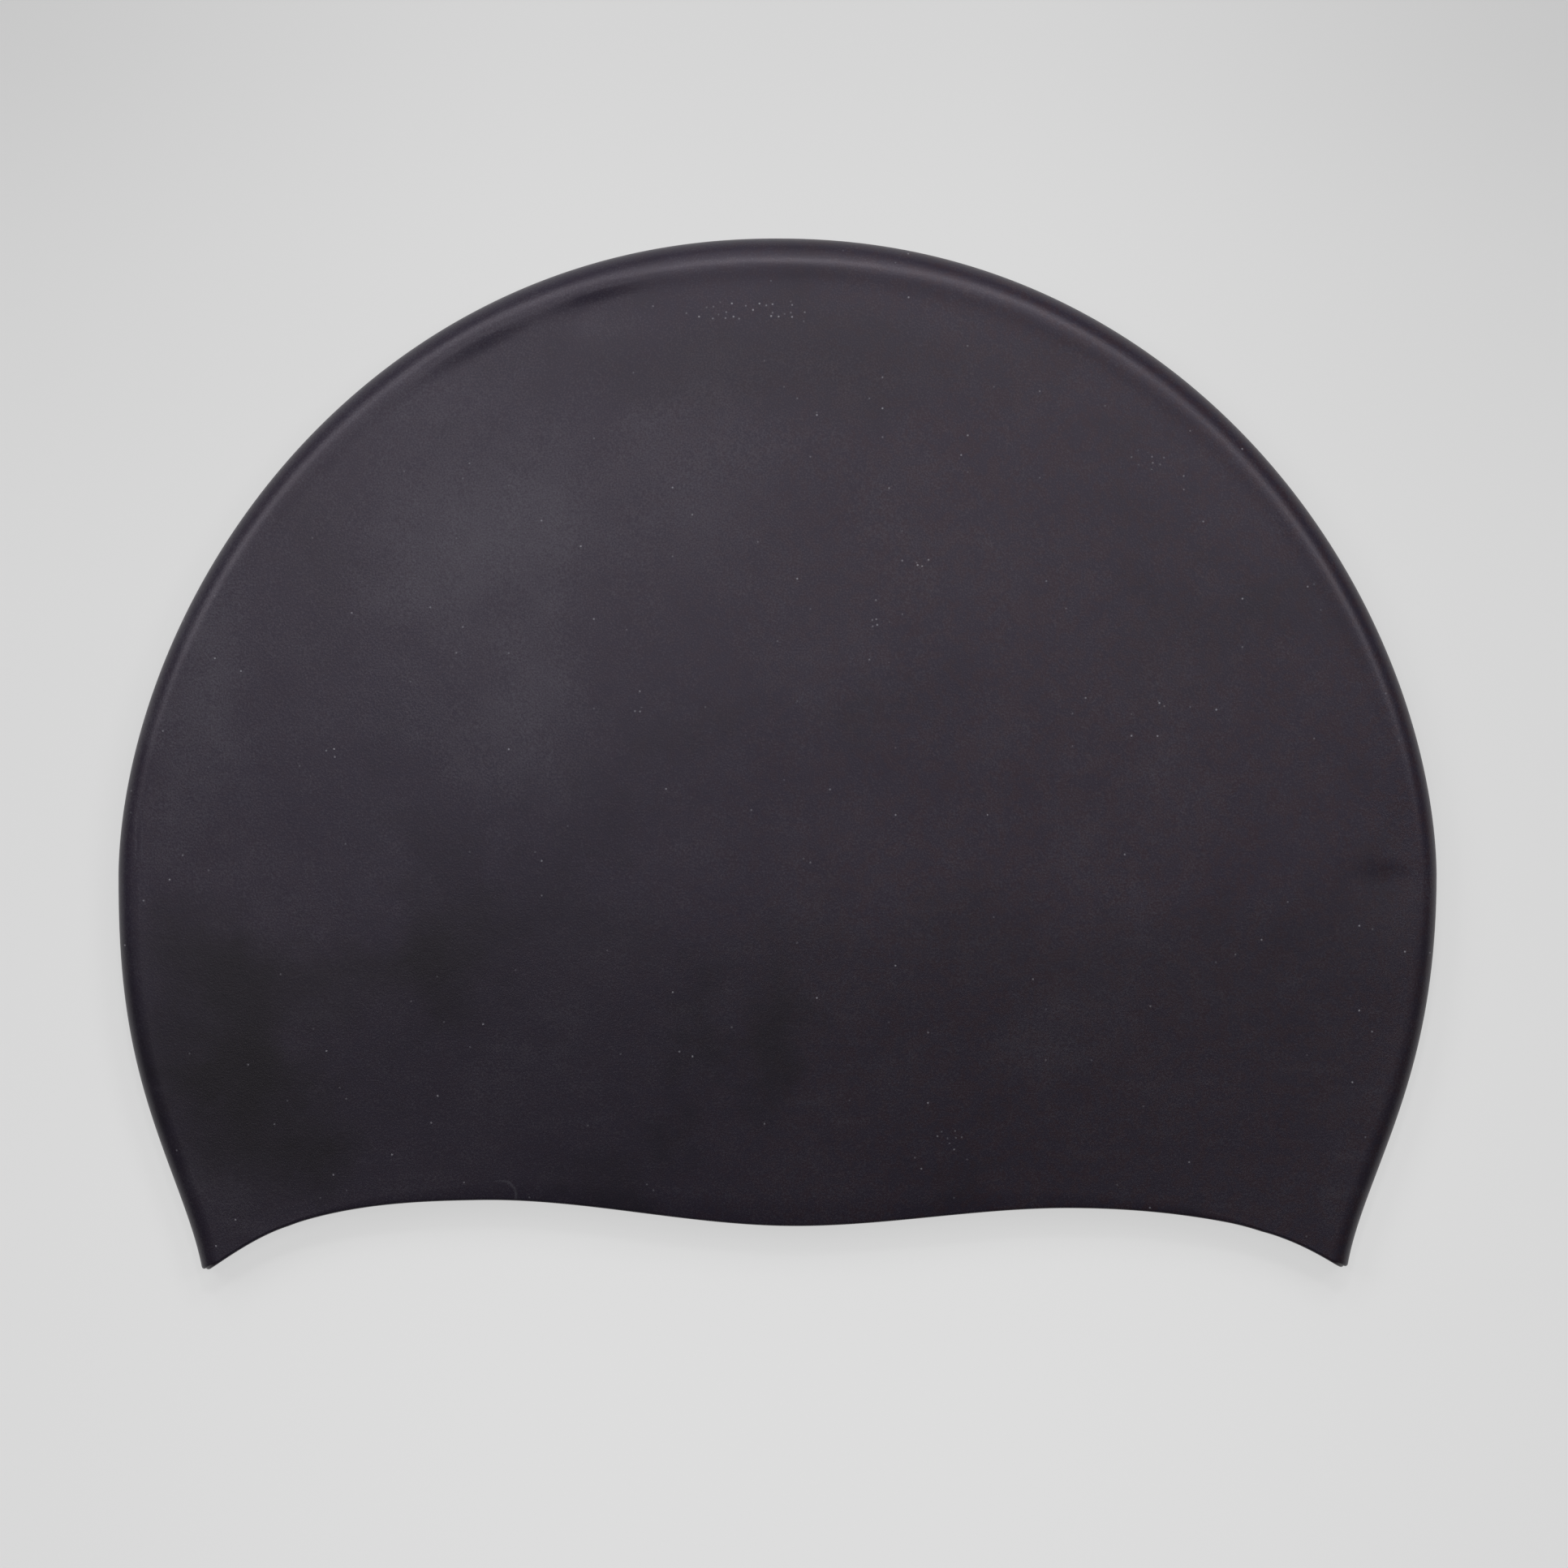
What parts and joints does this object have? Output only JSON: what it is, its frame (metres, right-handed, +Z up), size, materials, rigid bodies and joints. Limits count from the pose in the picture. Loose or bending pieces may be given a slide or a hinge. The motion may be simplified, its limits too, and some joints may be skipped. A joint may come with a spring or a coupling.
{
  "type": "swim cap",
  "caption": "Plain moulded rubber swim cap lying flat: a hollow dome with a rolled fold round it and a wavy opening edge that ends in pointed corners.",
  "frame": {"origin": "on the surface that the cap lies on, under the middle of its bounding box", "axes": "+X across the cap along its width, +Y from the opening edge to the crown, +Z up from the surface"},
  "size_m": [0.225, 0.1759, 0.0112],
  "materials": {
    "dark_silicone": "matte moulded silicone, nearly black with a faint aubergine tint"
  },
  "bodies": {
    "root": {"cap_shell": "dark_silicone"}
  },
  "joints": []
}
